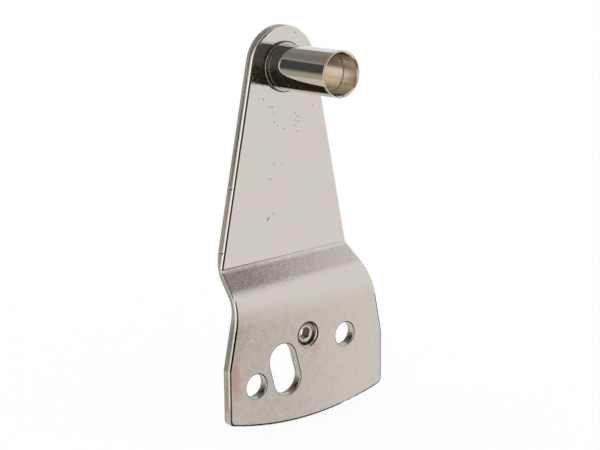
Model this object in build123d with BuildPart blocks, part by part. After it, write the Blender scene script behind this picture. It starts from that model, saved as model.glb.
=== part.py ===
from build123d import *

import os
from math import asin, atan2, cos, degrees, hypot, radians, sin, sqrt, tan

# Fridge door hinge: a pressed and joggled steel plate, a hollow pin swaged into
# its narrow end, and a hollow adjusting screw in a drawn and tapped hole.
#
# Frame: the plate stands upright with its wide foot at the bottom. The origin is
# on the pin's axis, where the door's bush seats on the pin's collar. The pin
# points along -Y, +Z runs up the plate and +X is to the right, seen from the pin.

# Sheet steel
SHEET = 2.5                     # thickness
EDGE_ROLL = 0.75                # radius that blanking rolls onto the front edges
EDGE_BREAK = 0.12               # small break left round the rear edges

# Pin
PIN_DIAMETER = 12.0
PIN_WALL = 0.75
PIN_LENGTH = 22.0               # from the bush's seat on the collar to the mouth
MOUTH_STEP = 0.1                # the mouth's bore is this much wider, on the radius
MOUTH_DEPTH = 5.4
RIM_ROUND = 0.2                 # outside of the mouth's rim
RIM_CHAMFER = 0.3               # inside of the mouth's rim
COLLAR_WIDTH = 0.7              # bead rolled up against the plate's front
COLLAR_THICKNESS = 0.8
COLLAR_ROUND = 0.45
FLARE_WIDTH = 1.1               # end swaged over the plate's rear
FLARE_THICKNESS = 0.7
FLARE_ROUND = 0.35

# Arm
ARM_END_RADIUS = 10.8           # round end, about the pin

# Joggle, which sets the foot towards the pin's side. The ramp is stretched thin in
# pressing: it is as thick as the sheet only along Y, so its bends have radii of
# their own on the front and on the rear
JOGGLE_OFFSET = 9.5
JOGGLE_DROP = 50.7              # from the pin down to the corner of arm and ramp
JOGGLE_SKEW = 1.3               # degrees by which its bends rise to the right
RAMP_ANGLE = 50.0               # degrees between the ramp and the plate
UPPER_FRONT_RADIUS = 0.6        # inside of the upper bend
UPPER_REAR_RADIUS = 10.0
LOWER_FRONT_RADIUS = 11.8
LOWER_REAR_RADIUS = 6.5         # inside of the lower bend

# Foot, whose bottom edge is an arc about the pin
FOOT_WIDTH = 53.0
FOOT_SIDE = 14.9                # upright part of each side
FOOT_CORNER_RADIUS = 2.0

# Fixing holes: two screw holes in a tilted row, with a slot across it between them
HOLE_DIAMETER = 6.5
HOLE_ROLL = 0.35                # rolled entry on the front of every hole
HOLE_SPACING = 31.4
HOLE_WEB = 2.3                  # metal between the left hole and the slot
HOLE_MARGIN = 12.8              # from the left hole down to the bottom of the foot
ROW_TILT = 14.9                 # degrees from the horizontal
ROW_DROP = 5.83                 # from the adjusting screw to the row, square to it
SLOT_WIDTH = 8.7
SLOT_LENGTH = 14.6
SLOT_WEB = 2.25                 # metal between the slot and the thread, along the row

# Drawn and tapped hole for the adjusting screw
SCREW_X = -0.35
SCREW_DROP = 6.38               # below the end of the lower bend
THREAD_DIAMETER = 6.0
THREAD_WALL = 0.95              # wall of the drawn neck
NECK_LENGTH = 1.8               # how far the neck stands behind the plate
NECK_ROOT_RADIUS = 0.5
ENTRY_ROUND = 0.7               # rounded entry that drawing leaves on the front

# Adjusting screw, hollow from end to end
SCREW_CLEARANCE = 0.05          # on the radius
SCREW_LENGTH = 3.0
SCREW_RECESS = 1.1              # its end lies this far under the foot's front
SCREW_CHAMFER = 0.3
SOCKET_ACROSS_FLATS = 3.0
SOCKET_TURN = 15.0              # degrees
SOCKET_CHAMFER = 0.2

# Nicks where two strokes of the blanking punch meet
NICK_RADIUS = 0.5
NICK_DEPTH = 0.14
ARM_NICK_DROPS = (30.3, 46.8)   # from the pin down each side of the arm
CAP_NICK_ANGLE = 57.0           # degrees above the horizontal, round the arm's end

# Where the faces lie, along Y
arm_front = COLLAR_THICKNESS
arm_rear = arm_front + SHEET
foot_front = arm_front - JOGGLE_OFFSET
foot_rear = foot_front + SHEET

# The joggle's two corners on the front, and the height where its lower bend ends
ramp_drop = JOGGLE_OFFSET / tan(radians(RAMP_ANGLE))
lower_tangent = LOWER_FRONT_RADIUS * tan(radians(RAMP_ANGLE / 2))
bend_end = -(JOGGLE_DROP + ramp_drop + lower_tangent)

# Centres of the holes, from the thread down to the bottom of the foot
row_step = Vector(cos(radians(ROW_TILT)), sin(radians(ROW_TILT)))
row_down = Vector(sin(radians(ROW_TILT)), -cos(radians(ROW_TILT)))
thread_centre = Vector(SCREW_X, bend_end - SCREW_DROP)
thread_to_slot = THREAD_DIAMETER / 2 + SLOT_WEB + SLOT_WIDTH / 2
slot_to_hole = SLOT_WIDTH / 2 + HOLE_WEB + HOLE_DIAMETER / 2
slot_centre = thread_centre + row_down * ROW_DROP - row_step * thread_to_slot
left_hole = slot_centre - row_step * slot_to_hole
right_hole = left_hole + row_step * HOLE_SPACING
foot_reach = HOLE_MARGIN - left_hole.Y

# The blank's sides lean in from side_end to the round end, and the foot's corners
# are where its upright sides meet the bottom arc
foot_half = FOOT_WIDTH / 2
corner_drop = sqrt(foot_reach**2 - foot_half**2)
bottom_half_sweep = degrees(asin(foot_half / foot_reach))
side_end = corner_drop - FOOT_SIDE
taper = degrees(atan2(foot_half, side_end) - asin(ARM_END_RADIUS / hypot(foot_half, side_end)))

# Half section of the pin: radius and place along Y, with each corner's rounding
pin_radius = PIN_DIAMETER / 2
bore_radius = pin_radius - PIN_WALL
mouth_radius = bore_radius + MOUTH_STEP
mouth_wall = pin_radius - mouth_radius
rim_round = min(RIM_ROUND, 0.4 * mouth_wall)
rim_chamfer = min(RIM_CHAMFER, 0.5 * mouth_wall)
flare_end = arm_rear + FLARE_THICKNESS
pin_profile = [
    ((mouth_radius, rim_chamfer - PIN_LENGTH), 0),
    ((mouth_radius + rim_chamfer, -PIN_LENGTH), 0),
    ((pin_radius, -PIN_LENGTH), rim_round),
    ((pin_radius, 0), 0),
    ((pin_radius + COLLAR_WIDTH, 0), COLLAR_ROUND),
    ((pin_radius + COLLAR_WIDTH, arm_front), 0),
    ((pin_radius, arm_front), 0),
    ((pin_radius, arm_rear), 0),
    ((pin_radius + FLARE_WIDTH, arm_rear), 0),
    ((pin_radius + FLARE_WIDTH, flare_end), FLARE_ROUND),
    ((bore_radius, flare_end), FLARE_ROUND),
    ((bore_radius, MOUTH_DEPTH - PIN_LENGTH), 0),
    ((mouth_radius, MOUTH_DEPTH - PIN_LENGTH), 0),
]


def side_point(drop):
    """Point on the arm's right side, at a drop below the pin."""
    return Vector(foot_half - (side_end - drop) * tan(radians(taper)), -drop)


def bent_line(depth, upper_radius, lower_radius):
    """Side view of one surface of the bent sheet, at a depth behind its front."""
    return FilletPolyline(
        (arm_front + depth, ARM_END_RADIUS + SHEET),
        (arm_front + depth, -JOGGLE_DROP),
        (foot_front + depth, -JOGGLE_DROP - ramp_drop),
        (foot_front + depth, -foot_reach - SHEET),
        radius=(upper_radius, lower_radius),
    )


def rim_edges(solid, side):
    """Edges that join the walls of the blank to its front (-1) or rear (+1) face."""
    lean = cos(radians(RAMP_ANGLE)) / 2
    broad = solid.faces().filter_by(lambda face: face.normal_at().Y * side > lean)
    walls = solid.faces().filter_by(lambda face: abs(face.normal_at().Y) < lean)
    return broad.edges() & walls.edges()


with BuildPart() as hinge_plate:
    # The bent sheet, wider than the blank
    with BuildSketch(Plane.YZ.rotated((0, -JOGGLE_SKEW, 0)).offset(-FOOT_WIDTH)):
        with BuildLine():
            front_line = bent_line(0, UPPER_FRONT_RADIUS, LOWER_FRONT_RADIUS)
            rear_line = bent_line(SHEET, UPPER_REAR_RADIUS, LOWER_REAR_RADIUS)
            Line(front_line @ 0, rear_line @ 0)
            Line(front_line @ 1, rear_line @ 1)
        make_face()
    extrude(amount=2 * FOOT_WIDTH)
    # The blank's outline: a round end, straight tapered sides and a wide foot
    with BuildSketch(Plane.XZ.offset(JOGGLE_OFFSET + SHEET)) as outline:
        with BuildLine():
            cap = CenterArc((0, 0), ARM_END_RADIUS, taper, 180 - 2 * taper)
            Polyline(cap @ 0, (foot_half, -side_end), (foot_half, -corner_drop))
            CenterArc((0, 0), foot_reach, 270 - bottom_half_sweep, 2 * bottom_half_sweep)
            Polyline(cap @ 1, (-foot_half, -side_end), (-foot_half, -corner_drop))
        make_face()
        corners = outline.vertices().filter_by(lambda corner: corner.Y < -side_end - SHEET)
        fillet(corners, FOOT_CORNER_RADIUS)
    extrude(amount=-2 * (JOGGLE_OFFSET + SHEET), mode=Mode.INTERSECT)
    fillet(rim_edges(hinge_plate.part, -1), EDGE_ROLL)
    fillet(rim_edges(hinge_plate.part, 1), EDGE_BREAK)
    # Neck drawn out of the rear of the foot, with its root blended into the sheet
    with BuildSketch(Plane.XZ.offset(-foot_rear)):
        with Locations(thread_centre):
            Circle(THREAD_DIAMETER / 2 + THREAD_WALL)
    extrude(amount=-NECK_LENGTH)
    neck_root = hinge_plate.edges(Select.LAST).filter_by(GeomType.CIRCLE).sort_by(Axis.Y)[0]
    fillet(neck_root, NECK_ROOT_RADIUS)
    # Screw holes, slot and thread, all rolled over on the front
    with BuildSketch(Plane.XZ.offset(-foot_front)):
        with Locations(left_hole, right_hole):
            Circle(HOLE_DIAMETER / 2)
        with Locations(slot_centre):
            SlotOverall(SLOT_LENGTH, SLOT_WIDTH, rotation=ROW_TILT + 90)
        with Locations(thread_centre):
            Circle(THREAD_DIAMETER / 2)
    extrude(amount=-(SHEET + NECK_LENGTH), mode=Mode.SUBTRACT)
    foot_face = hinge_plate.faces().filter_by(Axis.Y).sort_by(Axis.Y)[0]
    thread_entry, *punched = foot_face.inner_wires().sort_by(lambda wire: wire.length)
    fillet(thread_entry.edges(), ENTRY_ROUND)
    fillet([edge for wire in punched for edge in wire.edges()], HOLE_ROLL)
    # Seat for the pin
    with BuildSketch(Plane.XZ.offset(-arm_front)):
        Circle(pin_radius)
    extrude(amount=-SHEET, mode=Mode.SUBTRACT)
    # Nicks in both sides of the arm and in its round end
    with BuildSketch(Plane.XZ.offset(-arm_front)):
        side_normal = Vector(cos(radians(taper)), sin(radians(taper)))
        for drop in ARM_NICK_DROPS:
            with Locations(side_point(drop) + side_normal * (NICK_RADIUS - NICK_DEPTH)):
                Circle(NICK_RADIUS)
        with PolarLocations(ARM_END_RADIUS + NICK_RADIUS - NICK_DEPTH, 1, CAP_NICK_ANGLE):
            Circle(NICK_RADIUS)
        mirror(about=Plane.YZ)
    extrude(amount=-SHEET, mode=Mode.SUBTRACT)

with BuildPart() as hollow_pin:
    with BuildSketch(Plane.XY):
        with BuildLine():
            points, roundings = zip(*pin_profile)
            FilletPolyline(*points, radius=roundings, close=True)
        make_face()
    revolve(axis=Axis.Y)

with BuildPart() as adjusting_screw:
    with BuildSketch(Plane.XZ.offset(-foot_front - SCREW_RECESS)):
        with Locations(thread_centre):
            Circle(THREAD_DIAMETER / 2 - SCREW_CLEARANCE)
    extrude(amount=-SCREW_LENGTH)
    chamfer(adjusting_screw.edges().filter_by(GeomType.CIRCLE), SCREW_CHAMFER)
    with BuildSketch(Plane.XZ.offset(-foot_front - SCREW_RECESS)):
        with Locations(thread_centre):
            RegularPolygon(SOCKET_ACROSS_FLATS / 2, 6, major_radius=False, rotation=SOCKET_TURN)
    extrude(amount=-SCREW_LENGTH, mode=Mode.SUBTRACT)
    screw_face = adjusting_screw.faces().sort_by(Axis.Y)[0]
    chamfer(screw_face.inner_wires().edges(), SOCKET_CHAMFER)

hinge_plate.part.label = "hinge_plate"
hollow_pin.part.label = "hollow_pin"
adjusting_screw.part.label = "adjusting_screw"

os.makedirs("parts", exist_ok=True)
export_step(hinge_plate.part, "parts/hinge_plate.step")
export_step(hollow_pin.part, "parts/hollow_pin.step")
export_step(adjusting_screw.part, "parts/adjusting_screw.step")
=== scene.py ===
"""Finish, threads and studio for a plated fridge door hinge, laid out as an add-on."""

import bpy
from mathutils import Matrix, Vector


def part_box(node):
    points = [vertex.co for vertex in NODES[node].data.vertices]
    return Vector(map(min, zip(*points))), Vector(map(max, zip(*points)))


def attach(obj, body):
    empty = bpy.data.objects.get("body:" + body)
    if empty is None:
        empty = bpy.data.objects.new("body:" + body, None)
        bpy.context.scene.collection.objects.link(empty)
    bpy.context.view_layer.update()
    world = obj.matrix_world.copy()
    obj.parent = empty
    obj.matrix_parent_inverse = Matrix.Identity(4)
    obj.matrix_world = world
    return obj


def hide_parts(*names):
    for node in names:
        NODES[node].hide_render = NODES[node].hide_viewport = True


bl_info = {
    "name": "Fridge Door Hinge",
    "version": (1, 0, 0),
    "blender": (4, 5, 0),
    "location": "View3D > Sidebar > Hinge",
    "description": "Nickel finish, threads and a plain studio for a pressed fridge door hinge",
    "category": "Object",
}

from math import cos, pi, radians, sin, tan

import bpy
from bpy.props import FloatProperty, FloatVectorProperty, IntProperty, PointerProperty
from bpy.types import Operator, Panel, PropertyGroup
from mathutils import Matrix, Vector

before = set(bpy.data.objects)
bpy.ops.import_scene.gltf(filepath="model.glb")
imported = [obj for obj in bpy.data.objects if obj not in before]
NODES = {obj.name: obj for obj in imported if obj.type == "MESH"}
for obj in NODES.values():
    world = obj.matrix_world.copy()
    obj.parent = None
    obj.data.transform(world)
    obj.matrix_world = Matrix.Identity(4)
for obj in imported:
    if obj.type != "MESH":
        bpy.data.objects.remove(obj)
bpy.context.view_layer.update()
MM = 0.001

# The screw and the plate, from their parts in model.glb
screw_low, screw_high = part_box("adjusting_screw")
SCREW_CENTRE = (screw_low + screw_high) / 2
SCREW_LENGTH = screw_high.y - screw_low.y
SCREW_RADIUS = (screw_high.x - screw_low.x) / 2
FLOOR_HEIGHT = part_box("hinge_plate")[0].z

# Form of the sheet, in millimetres. Heights are those at the plate's middle, and
# every bend rises a little to the right
ARM_FRONT = 0.8
FOOT_FRONT = -8.7
CREASE = -50.6
BEND_RISE = 0.025
RAMP_SLOPE = 1.19
BEND_SMOOTHING = 8.2
BEND_START = -55.1
BEND_END = -64.2

# Where the thread begins and ends under the foot's front, in millimetres
THREAD_START = 1.1
THREAD_END = 4.25

# Places along the pin, in millimetres: its open end, and the step inside its mouth
PIN_END = -22.0
MOUTH_STEP = -16.6

# Marks on the plate's front, in millimetres. Every place is measured right of the pin's axis
# and up from it. Small pits: place and radius
PITS = (
    (-7.1, -7.9, 0.30), (-4.9, -10.0, 0.26), (-4.2, -10.2, 0.26), (-3.9, -11.8, 0.22),
    (-3.6, -14.2, 0.30), (-2.6, -15.3, 0.20), (-0.6, -16.2, 0.28), (3.5, -12.5, 0.28),
    (4.0, -13.4, 0.32), (4.7, -13.7, 0.30), (3.4, -14.4, 0.24), (4.6, -14.8, 0.32),
    (3.1, -15.6, 0.30), (4.1, -17.4, 0.28), (9.3, -10.9, 0.34), (-5.2, -29.1, 0.30),
    (-3.8, -25.3, 0.26), (-1.2, -25.4, 0.24), (3.7, 8.6, 0.28), (-4.3, -38.6, 0.26),
    (-15.8, -66.4, 0.26),
)

# A short scratch on the arm, which rises at 45 degrees: its middle
SCRATCH = (-6.0, -39.8)

# Brown and green stains on the foot: place, half their width and height, and strength
STAINS = (
    (15.4, -72.6, 0.7, 2.4, 0.22), (-20.5, -64.6, 4.5, 2.4, 0.07), (-17.0, -71.0, 3.0, 3.2, 0.06),
)

# Pink stains on the foot: place, half their width and height
LEFT_PINK_STAIN = (-24.4, -77.14, 2.4, 8.57)
LOW_PINK_STAIN = (2.0, -75.6, 2.8, 2.8)

# Dirt about the pin's collar, in the same way
COLLAR_DIRT = (-11.0, -1.0, 8.0, 8.0)

# The studio's boards: tones, and the height of their tops in metres
WHITE = (1.0, 1.0, 1.0)
LEFT_GLOW = (2.0, 1.92, 1.75)
SHADE = (0.036, 0.033, 0.024)
BOARD_TOP = 0.55


# Settings

class HingeFinish(PropertyGroup):
    """Colours and polish of the plated steel"""

    nickel: FloatVectorProperty(
        name="Nickel", description="Colour of the plate's bright nickel",
        subtype="COLOR", size=3, min=0, max=1, default=(0.63, 0.595, 0.55),
    )
    dull_nickel: FloatVectorProperty(
        name="Dull Nickel", description="Colour of the warmer nickel on the foot",
        subtype="COLOR", size=3, min=0, max=1, default=(0.635, 0.583, 0.518),
    )
    # Also the colour of painted shade in the crease, at the front edges, low in the holes, on the ramp,
    # inside the pin and in the screw's hexagon
    tarnish_and_painted_shade: FloatVectorProperty(
        name="Tarnish", description="Colour of dirt and tarnish in edges, pits and the crease",
        subtype="COLOR", size=3, min=0, max=1, default=(0.075, 0.065, 0.045),
    )
    pink_stain: FloatVectorProperty(
        name="Pink Stain", description="Colour of the faint pink stains on the foot",
        subtype="COLOR", size=3, min=0, max=1, default=(0.62, 0.37, 0.32),
    )
    bore_colour: FloatVectorProperty(
        name="Bore", description="Colour of the unpolished inside of the pin",
        subtype="COLOR", size=3, min=0, max=1, default=(0.97, 0.87, 0.74),
    )
    # Painted highlight colour for the brightest streaks in the pin's mouth
    painted_mouth_highlight: FloatVectorProperty(
        name="Mouth Shine", description="Colour of the brightest streaks in the pin's mouth",
        subtype="COLOR", size=3, min=0, max=1, default=(1.0, 0.93, 0.81),
    )
    arm_roughness: FloatProperty(
        name="Arm Roughness", description="Roughness of the mirror-like arm",
        subtype="FACTOR", min=0, max=1, default=0.06,
    )
    foot_roughness: FloatProperty(
        name="Foot Roughness", description="Roughness of the satin ramp and foot",
        subtype="FACTOR", min=0, max=1, default=0.16,
    )
    fracture_roughness: FloatProperty(
        name="Fracture Roughness", description="Roughness of the torn part of the punched walls",
        subtype="FACTOR", min=0, max=1, default=0.42,
    )
    bore_roughness: FloatProperty(
        name="Bore Roughness", description="Roughness of the inside of the pin",
        subtype="FACTOR", min=0, max=1, default=0.19,
    )
    foot_grain: FloatProperty(
        name="Foot Grain", description="Height of the grain on the foot, in millimetres",
        min=0, max=0.2, default=0.02,
    )
    ramp_grain: FloatProperty(
        name="Ramp Grain", description="Height of the grain on the stretched ramp, in millimetres",
        min=0, max=0.2, default=0.045,
    )


class HingeThread(PropertyGroup):
    """Sizes of the thread in the plate and on the screw"""

    pitch: FloatProperty(
        name="Pitch", description="Travel of one turn",
        subtype="DISTANCE", unit="LENGTH", default=1.0 * MM,
    )
    hole_radius: FloatProperty(
        name="Hole Radius", description="Radius to the bottom of the thread in the plate",
        subtype="DISTANCE", unit="LENGTH", default=3.0 * MM,
    )
    ridge_radius: FloatProperty(
        name="Ridge Radius", description="Radius to the tip of the thread in the plate",
        subtype="DISTANCE", unit="LENGTH", default=2.459 * MM,
    )
    root_radius: FloatProperty(
        name="Root Radius", description="Radius to the bottom of the thread on the screw",
        subtype="DISTANCE", unit="LENGTH", default=2.337 * MM,
    )
    socket_across_flats: FloatProperty(
        name="Socket", description="Width of the screw's hexagon across its flats",
        subtype="DISTANCE", unit="LENGTH", default=3.0 * MM,
    )
    socket_turn: FloatProperty(
        name="Socket Turn", description="Turn of the screw's hexagon",
        subtype="ANGLE", unit="ROTATION", default=radians(15),
    )
    socket_bevel: FloatProperty(
        name="Socket Bevel", description="Bevel round the mouth of the hexagon",
        subtype="DISTANCE", unit="LENGTH", default=0.2 * MM,
    )
    chamfer: FloatProperty(
        name="Chamfer", description="Chamfer at both ends of the screw",
        subtype="DISTANCE", unit="LENGTH", default=0.3 * MM,
    )
    steps: IntProperty(
        name="Steps", description="Segments in one turn", min=24, max=192, default=96,
    )


class HingeStage(PropertyGroup):
    """Camera, floor and studio boards"""

    azimuth: FloatProperty(
        name="Azimuth", description="Camera's turn round the hinge",
        subtype="ANGLE", unit="ROTATION", default=radians(-39.11),
    )
    elevation: FloatProperty(
        name="Elevation", description="Camera's height as an angle",
        subtype="ANGLE", unit="ROTATION", default=radians(13.36),
    )
    roll: FloatProperty(
        name="Roll", description="Camera's turn about its line of sight",
        subtype="ANGLE", unit="ROTATION", default=radians(-0.42),
    )
    position: FloatVectorProperty(
        name="Position", description="Camera's place",
        subtype="TRANSLATION", unit="LENGTH", size=3,
        default=(-221.2 * MM, -277.3 * MM, 42.0 * MM),
    )
    lens: FloatProperty(
        name="Lens", description="Focal length on a 36 mm sensor, in millimetres", default=82.0,
    )
    floor_colour: FloatVectorProperty(
        name="Floor", description="Colour of the floor",
        subtype="COLOR", size=3, min=0, max=1, default=(0.95, 0.95, 0.95),
    )


# Shader maths

class Socket:
    """A node socket with Python's arithmetic."""

    def __init__(self, shader, link):
        self.shader = shader
        self.link = link

    def _math(self, operation, *values):
        return self.shader.node("ShaderNodeMath", {"operation": operation}, *values)

    def __add__(self, other):
        return self._math("ADD", self, other)

    __radd__ = __add__

    def __sub__(self, other):
        return self._math("SUBTRACT", self, other)

    def __rsub__(self, other):
        return self._math("SUBTRACT", other, self)

    def __mul__(self, other):
        return self._math("MULTIPLY", self, other)

    def __truediv__(self, other):
        return self._math("DIVIDE", self, other)

    def __abs__(self):
        return self._math("ABSOLUTE", self)

    def least(self, other):
        return self._math("MINIMUM", self, other)

    def most(self, other, smoothing=0.0):
        return self._math("SMOOTH_MAX", self, other, smoothing)

    def step(self, low, high):
        """0 below low and 1 above high, smooth between; the other way round if low is the larger."""
        settings = {"interpolation_type": "SMOOTHSTEP"}
        if low < high:
            return self.shader.node("ShaderNodeMapRange", settings, self, low, high, 0.0, 1.0)
        return self.shader.node("ShaderNodeMapRange", settings, self, high, low, 1.0, 0.0)

    def band(self, low, high, soft):
        """1 between low and high, fading to 0 over a soft width outside them."""
        return self.step(low - soft, low) * self.step(high + soft, high)


class Shader:
    """A material's or the world's node tree."""

    def __init__(self, tree):
        self.tree = tree
        tree.nodes.clear()

    def node(self, kind, settings, *values, output=0, **named):
        """A new node: its settings are made first, then the values or links of its sockets."""
        node = self.tree.nodes.new(kind)
        for key, value in settings.items():
            setattr(node, key, value)
        pairs = list(enumerate(values)) + [(key.replace("_", " "), value) for key, value in named.items()]
        for key, value in pairs:
            if isinstance(value, Socket):
                self.tree.links.new(value.link, node.inputs[key])
            elif value is not None:
                node.inputs[key].default_value = value
        return Socket(self, node.outputs[output]) if node.outputs else None

    def split(self, vector):
        """The three parts of a vector."""
        first = self.node("ShaderNodeSeparateXYZ", {}, vector)
        outputs = first.link.node.outputs
        return [Socket(self, outputs[index]) for index in range(3)]

    def millimetres(self):
        """Place on the piece, in millimetres."""
        place = self.node("ShaderNodeTexCoord", {}, output=3)
        return self.node("ShaderNodeVectorMath", {"operation": "SCALE"}, place, Scale=1 / MM)

    def facing(self):
        """Direction in which the surface faces."""
        return self.node("ShaderNodeTexCoord", {}, output=1)

    def stretch(self, vector, factors):
        return self.node("ShaderNodeVectorMath", {"operation": "MULTIPLY"}, vector, factors)

    def from_axis(self, place, right=0.0, up=0.0):
        """Distance from a line along Y."""
        flat = self.stretch(place, (1, 0, 1))
        return self.node("ShaderNodeVectorMath", {"operation": "DISTANCE"}, flat, (right, 0, up), output=1)

    def spot(self, place, mark, core):
        """1 in the core of an oval mark, a share of its size, and 0 at its rim."""
        right, up, width, height = mark
        oval = self.stretch(place, (1 / width, 1, 1 / height))
        return self.from_axis(oval, right / width, up / height).step(1.0, core)

    def mix(self, factor, first, second):
        """A colour mixed from first to second by a factor."""
        node = self.tree.nodes.new("ShaderNodeMix")
        node.data_type = "RGBA"
        for index, value in ((0, factor), (6, first), (7, second)):
            if isinstance(value, Socket):
                self.tree.links.new(value.link, node.inputs[index])
            else:
                node.inputs[index].default_value = value
        return Socket(self, node.outputs[2])

    def noise(self, place, size, detail=2.0, roughness=0.5):
        """Noise about 0.5, with features of a size in millimetres."""
        return self.node("ShaderNodeTexNoise", {"normalize": True}, Vector=place,
                         Scale=1 / size, Detail=detail, Roughness=roughness)


def strongest(masks):
    """The greatest of several masks."""
    result = masks[0]
    for mask in masks[1:]:
        result = result.most(mask)
    return result


def colour(values, factor=1.0):
    """Red, green and blue as a shader colour, darkened by a factor."""
    return (values[0] * factor, values[1] * factor, values[2] * factor, 1.0)


def tinted(values, tint):
    """A colour with each part multiplied by that of a tint."""
    return colour([value * part for value, part in zip(values, tint)])


def new_material(name):
    material = bpy.data.materials.new(name)
    material.use_nodes = True
    return material, Shader(material.node_tree)


def finish_metal(shader, base, roughness, relief):
    """A metal surface as the material's output, with a relief in millimetres."""
    normal = shader.node("ShaderNodeBump", {}, Strength=1.0, Distance=MM, Height=relief)
    surface = shader.node("ShaderNodeBsdfPrincipled", {}, Base_Color=base, Metallic=1.0,
                          Roughness=roughness, Normal=normal)
    shader.node("ShaderNodeOutputMaterial", {}, Surface=surface)


# Materials

class Sheet:
    """Where a point lies on the bent sheet, as masks from 0 to 1, and noise of four sizes."""

    def __init__(self, shader):
        self.place = shader.millimetres()
        self.x, self.y, self.z = shader.split(self.place)
        self.normal_x, self.normal_y, self.normal_z = shader.split(shader.facing())

        # Height along the bends, and depth under the front
        self.height = self.z - self.x * BEND_RISE
        ramp_front = (self.height - CREASE) * RAMP_SLOPE + ARM_FRONT
        depth = self.y - ramp_front.least(ARM_FRONT).most(FOOT_FRONT, BEND_SMOOTHING)

        # Parts of the sheet
        self.below = self.height.step(CREASE + 0.1, CREASE - 0.1)
        self.ramp = self.height.step(BEND_START - 2.2, BEND_START + 0.6) * self.below
        self.foot = self.height.step(BEND_END + 4.7, BEND_END - 1.3)
        self.fillet = (1 - (CREASE - self.height) / 1.1).most(0.0) * self.below
        self.leftward = self.x.step(22, -14)
        self.front = self.normal_y.step(-0.05, -0.3)

        # Rolled edges, punched walls and their torn part
        turned = abs(self.normal_y)
        flat_part = self.height.step(CREASE - 0.2, CREASE + 0.2) + self.height.step(BEND_END, BEND_END - 0.5)
        rolled = turned.step(0.992, 0.965) * flat_part
        self.rolled = rolled.most(abs(self.normal_x).step(0.05, 0.18))
        self.wall = turned.step(0.45, 0.25)
        self.torn = self.wall * depth.step(1.2, 1.8)
        self.satin = self.below * (1 - self.rolled)

        # Noise, from coarse to fine
        self.patches = shader.noise(self.place, 7.0, 2.0)
        self.clouds = shader.noise(self.place, 2.2, 3.0)
        self.speckle = shader.noise(self.place, 0.5, 2.0, 0.6)
        self.grain = shader.noise(self.place, 0.32, 2.0, 0.6)


class SheetMarks:
    """Dirt, damage and painted shade on the plate, as masks from 0 to 1."""

    def __init__(self, shader, sheet):
        place = sheet.place
        pits = [shader.spot(place, (right, up, radius * 1.2, radius * 1.2), 1 / 6)
                for right, up, radius in PITS]
        self.pits = strongest(pits) * sheet.front
        right, up = sheet.x - SCRATCH[0], sheet.z - SCRATCH[1]
        along, across = (right + up) * cos(radians(45)), (up - right) * cos(radians(45))
        self.scratch = sheet.front * along.band(-0.5, 0.5, 0.15) * across.band(-0.12, 0.12, 0.15)
        # Painted shade along the crease, fading out to the right
        self.crease = abs(sheet.height - CREASE).step(0.22, 0.04) * sheet.x.step(9, -20) * sheet.front
        stains = [shader.spot(place, stain[:4], 0.1) * stain[4] for stain in STAINS]
        self.stains = strongest(stains) * sheet.front * sheet.clouds.step(0.25, 0.55)
        left_pink = shader.spot(place, LEFT_PINK_STAIN, 0.25) * 0.85
        low_pink = shader.spot(place, LOW_PINK_STAIN, 1 / 7) * 0.6
        self.pink = left_pink.most(low_pink) * sheet.clouds.step(0.15, 0.55) * sheet.front * sheet.foot
        self.about_pin = shader.spot(place, COLLAR_DIRT, 0.25) * (1 - sheet.below)

        # Painted shade: the dark line where a front edge turns into the wall, on the left and below
        turned = abs(sheet.normal_y)
        painted_edge_shade = turned.step(0.35, 0.45) * turned.step(0.997, 0.988)
        painted_edge_shade = painted_edge_shade * sheet.height.step(BEND_END, BEND_END - 0.5)
        self.painted_edge_shade = painted_edge_shade * sheet.normal_z.step(0.35, 0.1) * sheet.normal_x.step(-0.72, -0.60)

        # Upright streaks on the walls, and painted shade low in the holes
        wall_lines = shader.noise(shader.stretch(place, (1, 1, 0.3)), 0.4, 2.0, 0.6)
        self.wall_lines = sheet.wall * wall_lines.step(0.35, 0.65)
        painted_hole_shade = sheet.normal_z.band(0.25, 0.8, 0.2) * sheet.normal_x.step(-0.2, -0.5)
        self.painted_hole_shade = sheet.wall * sheet.foot * painted_hole_shade


def plate_colour(shader, finish, sheet, marks):
    """The plate's base colour: nickel, stains over it, and dirt and painted shade over both."""
    base = shader.mix(sheet.patches.step(0.35, 0.65), tinted(finish.nickel, (1.005, 0.99, 0.995)),
                      tinted(finish.nickel, (0.985, 0.992, 0.985)))
    base = shader.mix(sheet.foot, base, colour(finish.dull_nickel))
    base = shader.mix(marks.pink, base, colour(finish.pink_stain))

    # Mottling, more of it to the left, and painted shade that darkens the foot towards the left
    cloudy = sheet.clouds.step(0.3, 0.7) * (0.04 + sheet.leftward * 0.05)
    grainy = sheet.grain.step(0.35, 0.65) * (0.10 + sheet.leftward * 0.06)
    dark = sheet.foot * (0.01 + sheet.leftward * 0.11 + cloudy + grainy + marks.stains)
    # Dull speckle on the ramp, and painted shade that darkens the ramp towards the left
    dull_and_painted_shade = sheet.speckle.step(0.4, 0.6) * 0.2 + sheet.x.step(0, -18) * 0.24
    dark = dark.most(sheet.ramp * (1 - sheet.rolled) * sheet.x.step(18, -6) * dull_and_painted_shade)

    # Dirt in the pits, the scratch and on the walls, and painted shade in the crease and low in the holes
    dark = dark.most(marks.pits * 0.28).most(marks.scratch * 0.55).most(marks.crease * 0.6)
    dark = (dark + marks.wall_lines * 0.22).most(sheet.torn * (0.05 + sheet.speckle * 0.24))
    dark = dark.most(marks.painted_hole_shade * 0.6)
    base = shader.mix(dark, base, colour(finish.tarnish_and_painted_shade))
    # Painted shade along the dark line at the front edges
    return shader.mix(marks.painted_edge_shade * 0.95, base, colour(finish.tarnish_and_painted_shade, 0.35))


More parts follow.
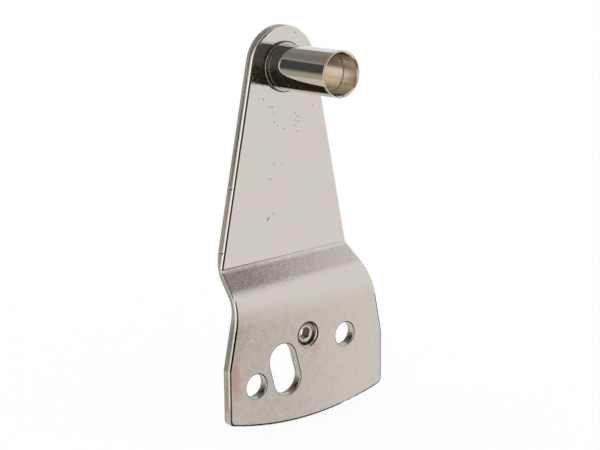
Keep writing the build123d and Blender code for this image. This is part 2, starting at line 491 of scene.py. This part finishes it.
def plate_roughness(finish, sheet, marks):
    """Mirror-like arm, satin below it, rougher where the walls are torn and about the pin."""
    roughness = finish.arm_roughness + sheet.satin * (finish.foot_roughness - finish.arm_roughness)
    roughness = roughness + sheet.torn * (finish.fracture_roughness - finish.arm_roughness)
    roughness = roughness + sheet.wall * (0.1 + sheet.z.step(-20, -5) * 0.18)
    return roughness + marks.about_pin * sheet.speckle.step(0.5, 0.7) * 0.24


def plate_relief(finish, sheet, marks):
    """The plate's relief in millimetres: grain, the crease's fillet, waves, and the marks."""
    grain = finish.foot_grain + sheet.ramp * (finish.ramp_grain - finish.foot_grain)
    relief = sheet.grain * sheet.satin * grain
    relief = relief + (sheet.fillet * sheet.fillet - sheet.below) * 0.22
    relief = relief + sheet.clouds * (0.004 + sheet.ramp * 0.03) + sheet.patches * 0.02
    relief = relief - marks.pits * 0.03 - marks.scratch * 0.04
    return relief + sheet.speckle * (marks.about_pin * 0.01 + sheet.torn * 0.012)


def plate_material(finish):
    """Bright nickel on pressed sheet: mirror-like on the arm, satin on the ramp and foot."""
    material, shader = new_material("plate nickel")
    sheet = Sheet(shader)
    marks = SheetMarks(shader, sheet)
    finish_metal(shader, plate_colour(shader, finish, sheet, marks),
                 plate_roughness(finish, sheet, marks), plate_relief(finish, sheet, marks))
    return material


def pin_material(finish):
    """Polished nickel outside the pin, dull where it is swaged, and brown and rough inside, with painted
    highlights and painted shade in its bore.
    """
    material, shader = new_material("pin nickel")
    place = shader.millimetres()
    x, y, z = shader.split(place)
    normal_x, normal_y, normal_z = shader.split(shader.facing())
    streaks = shader.noise(shader.stretch(place, (1, 0.06, 1)), 0.8, 2.0)
    rings = shader.noise(shader.stretch(place, (0.1, 1, 0.1)), 0.4, 2.0)
    speckle = shader.noise(place, 0.45, 2.0, 0.6)

    # Inside: painted highlight and painted shade bands in its mouth, the line of its step, and painted shade
    # on its dim top and bottom
    bore = (normal_x * x + normal_z * z).step(-1.5, -3.5)
    mouth = y.step(MOUTH_STEP + 0.2, MOUTH_STEP - 0.2) * bore
    painted_shade_bands = [z.band(-0.4, 1.2, 0.6), z.band(-4.6, -3.0, 0.6), y.step(PIN_END + 1.4, PIN_END + 0.6)]
    painted_highlight_bands = [z.band(-2.4, -0.9, 0.6), z.band(1.8, 2.8, 0.5), z.band(-5.0, -4.8, 0.4) * 0.6]
    step_line = abs(y - MOUTH_STEP).step(0.35, 0.15) * bore
    unlit = z.step(-0.6, 3.2).most(z.step(-2.8, -4.8))

    # Swaged into the plate: the collar's and the flare's faces, and their outer line
    swaged = y.step(-0.08, 0.02) * (1 - bore) * abs(normal_y).step(0.999, 0.99)
    outer_line = swaged * shader.from_axis(place).step(6.6, 6.8)

    base = shader.mix(bore, colour(finish.nickel), colour(finish.bore_colour))
    # Painted highlights in the mouth's bright bands, and painted shade in its dark bands and near its open
    # end
    base = shader.mix(mouth * strongest(painted_highlight_bands) * 0.9, base, colour(finish.painted_mouth_highlight))
    dark = bore * (unlit * 0.25 + streaks.step(0.35, 0.65) * 0.12 + rings.step(0.35, 0.65) * 0.06)
    dark = dark.most(mouth * strongest(painted_shade_bands) * 0.38)
    dark = dark.most(swaged * (0.7 + speckle.step(0.6, 0.4) * 0.25))
    base = shader.mix(dark, base, colour(finish.tarnish_and_painted_shade))
    base = shader.mix(outer_line * 0.95, base, colour(finish.tarnish_and_painted_shade, 0.35))
    roughness = finish.arm_roughness + bore * (finish.bore_roughness - finish.arm_roughness)
    roughness = roughness + swaged * 0.2 + step_line * 0.3
    relief = shader.noise(place, 1.2, 1.0) * 0.002 + speckle * (bore * 0.004 + swaged * 0.01)
    finish_metal(shader, base, roughness, relief)
    return material


def screw_material(finish):
    """Plain plated steel on the screw, with painted shade in its hexagon and a dark ring round its front
    end.
    """
    material, shader = new_material("screw steel")
    place = shader.millimetres()
    _, normal_y, normal_z = shader.split(shader.facing())
    radius = shader.from_axis(place, SCREW_CENTRE.x / MM, SCREW_CENTRE.z / MM)
    socket = radius.step(1.85, 1.7) * abs(normal_y).step(0.5, 0.2)
    ring = radius.band(2.25, 2.6, 0.12) * normal_y.step(-0.5, -0.9)
    speckle = shader.noise(place, 0.3, 2.0, 0.6)
    # Painted shade in the hexagon, lighter on its faces that look down
    dark = socket * (0.6 + speckle * 0.4 - normal_z.step(-0.3, -0.8) * 0.4)
    dark = dark.most(ring * 0.7)
    base = shader.mix(dark, colour(finish.nickel, 0.88), colour(finish.tarnish_and_painted_shade))
    finish_metal(shader, base, 0.12 + socket * 0.12, speckle * 0.004)
    return material


def board_material(name, tone, fades):
    """A studio board: each fade gives an axis, the places where it begins and ends, and its tone."""
    material, shader = new_material(name)
    place = shader.split(shader.node("ShaderNodeTexCoord", {}, output=3))
    tone = colour(tone)
    for axis, begin, end, other in fades:
        tone = shader.mix(place["xyz".index(axis)].step(begin, end), tone, colour(other))
    glow = shader.node("ShaderNodeEmission", {}, tone, 1.0)
    shader.node("ShaderNodeOutputMaterial", {}, Surface=glow)
    material.cycles.emission_sampling = "NONE"
    return material


def background_rays(shader):
    """1 for rays that the camera, metal or glass sends out."""
    path = shader.node("ShaderNodeLightPath", {}).link.node.outputs
    rays = [Socket(shader, path[name]) for name in ("Is Camera Ray", "Is Glossy Ray", "Is Transmission Ray")]
    return rays[0].most(rays[1]).most(rays[2])


def floor_material(stage):
    """A white floor that keeps some of the hinge's shadow."""
    material, shader = new_material("floor")
    matt = shader.node("ShaderNodeBsdfDiffuse", {}, colour(stage.floor_colour))
    white = shader.node("ShaderNodeEmission", {}, (1.0, 1.0, 1.0, 1.0), 1.0)
    surface = shader.node("ShaderNodeMixShader", {}, background_rays(shader) * 0.93, matt, white)
    shader.node("ShaderNodeOutputMaterial", {}, Surface=surface)
    return material


# Modelling helpers

def deselect_all():
    bpy.ops.object.select_all(action="DESELECT")


def assign(piece, material):
    piece.data.materials.clear()
    piece.data.materials.append(material)


def settle(piece):
    """Puts the piece's place and turn into its mesh."""
    deselect_all()
    piece.select_set(True)
    bpy.context.view_layer.objects.active = piece
    bpy.ops.object.transform_apply(location=True, rotation=True, scale=True)


def cut(piece, cutter):
    """Takes the cutter's form out of the piece, and the cutter away."""
    deselect_all()
    piece.select_set(True)
    bpy.context.view_layer.objects.active = piece
    modifier = piece.modifiers.new("cut", "BOOLEAN")
    modifier.operation = "DIFFERENCE"
    modifier.solver = "EXACT"
    modifier.object = cutter
    bpy.ops.object.modifier_apply(modifier=modifier.name)
    bpy.data.objects.remove(cutter)


def add_coil(name, start, turns, pitch, inner, outer, steps):
    """A closed helical ridge about the line along Y through start.

    inner and outer are each a radius and half the ridge's width at it."""
    width = outer[0] - inner[0]
    middle = (outer[0] + inner[0]) / 2
    deselect_all()
    bpy.ops.mesh.primitive_plane_add(size=1, location=start)
    coil = bpy.context.object
    coil.name = name
    bpy.ops.object.mode_set(mode="EDIT")
    bpy.ops.mesh.select_all(action="SELECT")
    bpy.ops.transform.resize(value=(width, 2 * inner[1], 1), center_override=start)
    bpy.ops.transform.translate(value=(middle, 0, 0))
    bpy.ops.mesh.select_all(action="DESELECT")
    bpy.ops.object.mode_set(mode="OBJECT")
    for vertex in coil.data.vertices:
        vertex.select = vertex.co.x > middle
    bpy.ops.object.mode_set(mode="EDIT")
    bpy.ops.transform.resize(value=(1, outer[1] / inner[1], 1), center_override=start)
    bpy.ops.object.mode_set(mode="OBJECT")
    helix = coil.modifiers.new("helix", "SCREW")
    helix.axis = "Y"
    helix.angle = 2 * pi
    helix.screw_offset = pitch
    helix.iterations = turns
    helix.steps = steps
    helix.render_steps = steps
    helix.use_merge_vertices = False
    bpy.ops.object.modifier_apply(modifier=helix.name)
    bpy.ops.object.mode_set(mode="EDIT")
    bpy.ops.mesh.select_all(action="DESELECT")
    bpy.ops.mesh.select_non_manifold()
    bpy.ops.mesh.edge_face_add()
    bpy.ops.mesh.select_all(action="SELECT")
    bpy.ops.mesh.normals_make_consistent(inside=False)
    bpy.ops.object.mode_set(mode="OBJECT")
    settle(coil)
    return coil


def trim(piece, height, direction):
    """Cuts the piece flat across Y, keeps what lies in the direction and closes it."""
    deselect_all()
    piece.select_set(True)
    bpy.context.view_layer.objects.active = piece
    bpy.ops.object.mode_set(mode="EDIT")
    bpy.ops.mesh.select_all(action="SELECT")
    bpy.ops.mesh.bisect(plane_co=(0, height, 0), plane_no=(0, direction, 0), use_fill=True, clear_inner=True)
    bpy.ops.object.mode_set(mode="OBJECT")


# Operators

class HINGE_OT_metal(Operator):
    """Give the plate and the pin their plated finish"""

    bl_idname = "hinge.metal"
    bl_label = "Plated Metal"

    def execute(self, context):
        finish = context.scene.hinge_finish
        assign(NODES["hinge_plate"], plate_material(finish))
        assign(NODES["hollow_pin"], pin_material(finish))
        return {"FINISHED"}


def groove_half(thread, radius):
    """Half the width of the screw's groove at a radius: a 60 degree thread with flat crests."""
    return thread.pitch * 7 / 16 - (SCREW_RADIUS - radius) * tan(radians(30))


class HINGE_OT_screw(Operator):
    """Model the adjusting screw with its thread and its hexagon"""

    bl_idname = "hinge.screw"
    bl_label = "Adjusting Screw"

    def execute(self, context):
        thread = context.scene.hinge_thread
        deselect_all()
        bpy.ops.mesh.primitive_cylinder_add(vertices=thread.steps, radius=SCREW_RADIUS, depth=SCREW_LENGTH,
                                            location=SCREW_CENTRE, rotation=(pi / 2, 0, 0))
        screw = bpy.context.object
        screw.name = "threaded_screw"
        bpy.ops.object.mode_set(mode="EDIT")
        bpy.ops.mesh.select_all(action="DESELECT")
        bpy.ops.object.mode_set(mode="OBJECT")
        for face in screw.data.polygons:
            face.select = abs(face.normal.z) > 0.5
        bpy.ops.object.mode_set(mode="EDIT")
        bpy.ops.mesh.region_to_loop()
        bpy.ops.mesh.bevel(offset=thread.chamfer, segments=1)
        bpy.ops.object.mode_set(mode="OBJECT")
        settle(screw)
        clear = SCREW_RADIUS + 0.1 * MM
        start = SCREW_CENTRE - Vector((0, SCREW_LENGTH / 2 + 1.5 * thread.pitch, 0))
        turns = round(SCREW_LENGTH / thread.pitch) + 3
        cut(screw, add_coil("groove", start, turns, thread.pitch,
                            (thread.root_radius, groove_half(thread, thread.root_radius)),
                            (clear, groove_half(thread, clear)), thread.steps))
        cut(screw, self.hexagon(thread, SCREW_CENTRE, SCREW_LENGTH * 2, 0, 0))
        mouth = SCREW_CENTRE - Vector((0, SCREW_LENGTH / 2, 0))
        cut(screw, self.hexagon(thread, mouth, 2 * thread.socket_bevel, 0, 2 * thread.socket_bevel))
        bpy.ops.object.shade_smooth_by_angle(angle=radians(28))
        assign(screw, screw_material(context.scene.hinge_finish))
        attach(screw, "screw")
        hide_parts("adjusting_screw")
        return {"FINISHED"}

    def hexagon(self, thread, centre, length, rear_growth, front_growth):
        """A six-sided cutter along Y, which may flare towards either end."""
        rear, front = [(thread.socket_across_flats / 2 + growth) / cos(radians(30))
                       for growth in (rear_growth, front_growth)]
        deselect_all()
        bpy.ops.mesh.primitive_cone_add(vertices=6, radius1=rear, radius2=front, depth=length,
                                        location=centre, rotation=(pi / 2, thread.socket_turn, 0))
        cutter = bpy.context.object
        settle(cutter)
        return cutter


class HINGE_OT_tapped_hole(Operator):
    """Model the thread in the plate's drawn neck"""

    bl_idname = "hinge.tapped_hole"
    bl_label = "Tapped Hole"

    def execute(self, context):
        thread = context.scene.hinge_thread
        base = thread.hole_radius + 0.03 * MM
        start = SCREW_CENTRE - Vector((0, SCREW_LENGTH / 2 + 2 * thread.pitch, 0))
        tip_half = thread.pitch / 2 - groove_half(thread, thread.ridge_radius)
        base_half = thread.pitch / 2 - groove_half(thread, base)
        ridge = add_coil("plate_thread", start, 8, thread.pitch,
                         (thread.ridge_radius, tip_half), (base, base_half), thread.steps)
        trim(ridge, (FOOT_FRONT + THREAD_START) * MM, 1)
        trim(ridge, (FOOT_FRONT + THREAD_END) * MM, -1)
        bpy.ops.object.shade_smooth_by_angle(angle=radians(28))
        assign(ridge, NODES["hinge_plate"].data.materials[0])
        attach(ridge, "hinge")
        return {"FINISHED"}


def add_board(name, corners, tone, fades=()):
    """A flat board with its corners in order, that only reflections show."""
    mesh = bpy.data.meshes.new(name)
    mesh.from_pydata(corners, [], [list(range(len(corners)))])
    board = bpy.data.objects.new(name, mesh)
    bpy.context.scene.collection.objects.link(board)
    board.visible_camera = False
    board.visible_shadow = False
    board.visible_diffuse = False
    board.visible_transmission = False
    assign(board, board_material(name, tone, fades))


def compass(degrees_left, distance, height):
    """A point by its angle from the front towards the left, its distance and its height."""
    angle = radians(degrees_left)
    return (-sin(angle) * distance, -cos(angle) * distance, height)


class HINGE_OT_stage(Operator):
    """Add the floor, the studio boards, the light and the camera"""

    bl_idname = "hinge.stage"
    bl_label = "Studio"

    def execute(self, context):
        stage = context.scene.hinge_stage
        self.add_floor(stage)
        self.add_boards()
        self.add_light(context)
        self.add_camera(context, stage)
        return {"FINISHED"}

    def add_floor(self, stage):
        deselect_all()
        bpy.ops.mesh.primitive_circle_add(vertices=64, radius=6, fill_type="NGON",
                                          location=(0, 0, FLOOR_HEIGHT))
        floor = bpy.context.object
        floor.name = "floor"
        assign(floor, floor_material(stage))

    def add_boards(self):
        ground = FLOOR_HEIGHT + 0.5 * MM
        overhead = [(-0.9, -0.225), (0.54, -0.225), (0.54, 0.1), (0.36, 0.5), (0.34, 1.3), (-0.9, 1.3)]
        add_board("overhead board", [(x, y, BOARD_TOP) for x, y in overhead], (0.26, 0.245, 0.22),
                  [("x", -0.4, 0.4, (0.36, 0.34, 0.31)), ("x", 0.405, 0.52, WHITE),
                   ("y", -0.17, -0.225, WHITE)])

        # Upright boards: two ends by angle and distance, a tone, and fades by height
        for name, first, second, tone, fades in (
            ("front board", (44, 0.6), (-28, 0.5), (0.13, 0.135, 0.115), [("z", 0.08, -0.09, SHADE)]),
            ("left board", (50, 0.6), (75, 0.6), LEFT_GLOW, []),
            ("rear board", (128, 0.28), (178, 0.33), (0.075, 0.08, 0.075),
             [("z", 0.025, -0.045, (0.5, 0.48, 0.38)), ("z", 0.135, 0.15, (0.39, 0.375, 0.305)),
              ("z", 0.155, 0.19, (0.27, 0.25, 0.23))]),
        ):
            add_board(name, [compass(*first, ground), compass(*second, ground),
                             compass(*second, BOARD_TOP), compass(*first, BOARD_TOP)], tone, fades)

        # Mats on the floor
        add_board("front mat", [(-0.07, -0.07, ground), (0.018, -0.07, ground), (0.04, -0.108, ground),
                                compass(-25, 0.5, ground), compass(44, 0.6, ground)], SHADE)
        add_board("left mat", [compass(50, 0.05, ground), compass(75, 0.05, ground),
                               compass(75, 0.6, ground), compass(50, 0.6, ground)], LEFT_GLOW)
        add_board("rear mat", [(-0.04, 0.0, ground), (0.0, 0.10, ground), compass(178, 0.33, ground),
                               compass(128, 0.28, ground)], (0.76, 0.75, 0.67))

    def add_light(self, context):
        world = bpy.data.worlds.new("studio")
        context.scene.world = world
        world.use_nodes = True
        shader = Shader(world.node_tree)
        white = shader.node("ShaderNodeBackground", {}, (1.0, 1.0, 1.0, 1.0), 1.0)
        shader.node("ShaderNodeOutputWorld", {}, Surface=white)

    def add_camera(self, context, stage):
        data = bpy.data.cameras.new("camera")
        data.sensor_fit = "AUTO"
        data.sensor_width = 36
        data.lens = stage.lens
        data.clip_start = 0.01
        data.clip_end = 50
        camera = bpy.data.objects.new("camera", data)
        context.scene.collection.objects.link(camera)
        azimuth, elevation, roll = stage.azimuth, stage.elevation, stage.roll
        back = Vector((sin(azimuth) * cos(elevation), -cos(azimuth) * cos(elevation), sin(elevation)))
        level = Vector((cos(azimuth), sin(azimuth), 0))
        upright = back.cross(level)
        right = cos(roll) * level + sin(roll) * upright
        up = back.cross(right)
        camera.rotation_mode = "QUATERNION"
        camera.rotation_quaternion = Matrix((right, up, back)).transposed().to_quaternion()
        camera.location = stage.position
        context.scene.camera = camera
        context.scene.view_settings.view_transform = "Standard"


class HINGE_PT_panel(Panel):
    """Steps and settings of the hinge"""

    bl_label = "Fridge Door Hinge"
    bl_idname = "HINGE_PT_panel"
    bl_space_type = "VIEW_3D"
    bl_region_type = "UI"
    bl_category = "Hinge"

    def draw(self, context):
        for operator in (HINGE_OT_stage, HINGE_OT_metal, HINGE_OT_screw, HINGE_OT_tapped_hole):
            self.layout.operator(operator.bl_idname)
        scene = context.scene
        for group in (scene.hinge_finish, scene.hinge_thread, scene.hinge_stage):
            for name in type(group).__annotations__:
                self.layout.prop(group, name)


CLASSES = (HingeFinish, HingeThread, HingeStage, HINGE_OT_stage, HINGE_OT_metal, HINGE_OT_screw,
           HINGE_OT_tapped_hole, HINGE_PT_panel)


def register():
    for item in CLASSES:
        bpy.utils.register_class(item)
    bpy.types.Scene.hinge_finish = PointerProperty(type=HingeFinish)
    bpy.types.Scene.hinge_thread = PointerProperty(type=HingeThread)
    bpy.types.Scene.hinge_stage = PointerProperty(type=HingeStage)


def unregister():
    del bpy.types.Scene.hinge_stage
    del bpy.types.Scene.hinge_thread
    del bpy.types.Scene.hinge_finish
    for item in reversed(CLASSES):
        bpy.utils.unregister_class(item)


def main():
    register()
    bpy.ops.hinge.stage()
    bpy.ops.hinge.metal()
    bpy.ops.hinge.screw()
    bpy.ops.hinge.tapped_hole()


if __name__ == "__main__":
    main()
